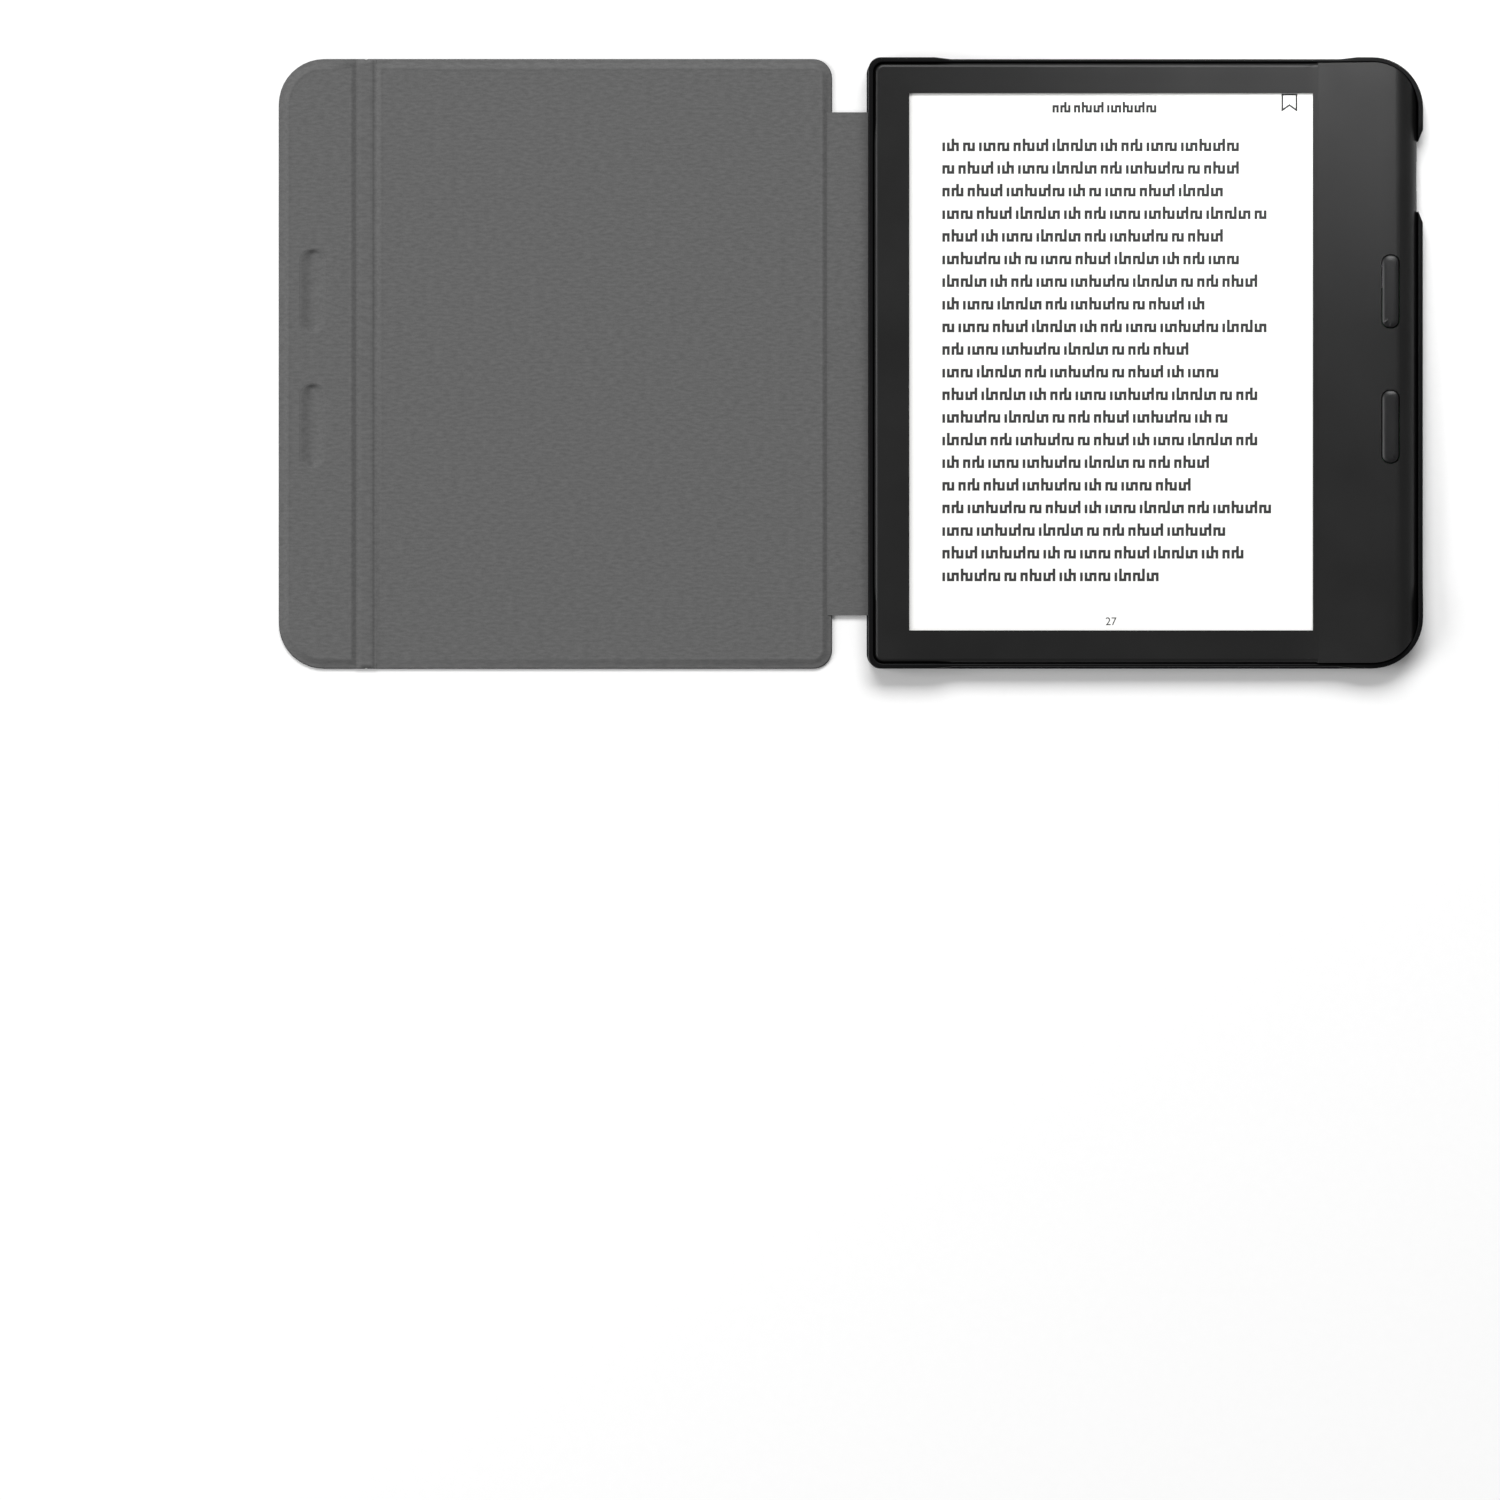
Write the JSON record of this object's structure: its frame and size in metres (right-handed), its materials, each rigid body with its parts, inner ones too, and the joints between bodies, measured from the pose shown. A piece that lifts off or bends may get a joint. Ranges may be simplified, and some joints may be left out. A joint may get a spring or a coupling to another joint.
{
  "type": "e-reader",
  "caption": "E-paper reader with a raised grip and page keys, held in the tray of a cloth folio case that folds shut over the screen or round behind it.",
  "frame": {"origin": "centre of the open case's footprint, on the surface that it lies on", "axes": "+X from the cover's free edge to the reader's grip, +Y up the page, +Z out of the screen"},
  "size_m": [0.3036, 0.162, 0.0096],
  "materials": {
    "tray_plastic": "satin",
    "casing_plastic": "soft-touch matte",
    "canvas": "woven",
    "lining": "brushed",
    "card": "matte",
    "display": "matte film",
    "light_guide": "clear",
    "metal_sheet": "satin",
    "screw": "satin",
    "magnet": "plated",
    "battery": "satin",
    "board": "solder mask",
    "chip": "matte",
    "ribbon": "polyimide",
    "rubber": "matte",
    "tape": "matte"
  },
  "bodies": {
    "reader": {"tray_shell": "tray_plastic", "back_skin": "canvas", "rear_casing": "casing_plastic", "front_frame": "casing_plastic", "chassis_plate": "metal_sheet", "epaper_panel": "display", "light_guide": "light_guide", "touch_film": "display", "window_gasket": "rubber", "light_bar": "ribbon", "casing_seal": "rubber", "battery": "battery", "battery_tape": "tape", "battery_lead": "ribbon", "main_board": "board", "port_board": "board", "processor": "chip", "memory_chip": "chip", "storage_chip": "chip", "power_controller": "chip", "radio_shield": "metal_sheet", "hall_sensor": "chip", "button_board": "board", "page_switches": "metal_sheet", "power_switch": "metal_sheet", "charging_socket": "metal_sheet", "socket_tongue": "chip", "display_ribbon": "ribbon", "touch_ribbon": "ribbon", "light_ribbon": "ribbon", "port_ribbon": "ribbon", "antenna": "ribbon", "status_light": "light_guide", "casing_screws": "screw", "board_screws": "screw", "catch_magnets": "magnet"},
    "page_button_upper": {"page_button_upper": "casing_plastic"},
    "page_button_lower": {"page_button_lower": "casing_plastic"},
    "power_button": {"power_button": "casing_plastic"},
    "spine": {"spine_skin": "canvas", "spine_stiffener": "card", "spine_lining": "lining"},
    "cover": {"cover_skin": "canvas", "cover_board": "card", "cover_lining": "lining"},
    "flap": {"flap_skin": "canvas", "flap_board": "card", "flap_lining": "lining", "flap_magnets": "magnet", "sleep_magnet": "magnet"}
  },
  "joints": [
    {"name": "spine_fold", "type": "hinge", "parent": "reader", "child": "spine", "pos_m": [0.0038, 0, 0.0005], "axis": [0, 1, 0], "range_deg": [-90, 90]},
    {"name": "cover_fold", "type": "hinge", "parent": "spine", "child": "cover", "pos_m": [-0.0045, 0, 0.0005], "axis": [0, 1, 0], "range_deg": [-90, 90]},
    {"name": "flap_fold", "type": "hinge", "parent": "cover", "child": "flap", "pos_m": [-0.1286, 0, 0.0005], "axis": [0, 1, 0], "range_deg": [-7.2, 7.2]},
    {"name": "page_button_upper_press", "type": "slide", "parent": "reader", "child": "page_button_upper", "axis": [0.1236, 0, -0.9923], "range_m": [0, 0.0004], "stiffness_N_per_m": 1200},
    {"name": "page_button_lower_press", "type": "slide", "parent": "reader", "child": "page_button_lower", "axis": [0.1236, 0, -0.9923], "range_m": [0, 0.0004], "stiffness_N_per_m": 1200},
    {"name": "power_button_press", "type": "slide", "parent": "reader", "child": "power_button", "axis": [0, 0, 1], "range_m": [0, 0.0004], "stiffness_N_per_m": 1200}
  ],
  "couplings": [
    {"joint": "flap_fold", "follows": "cover_fold", "ratio": -0.0789}
  ]
}
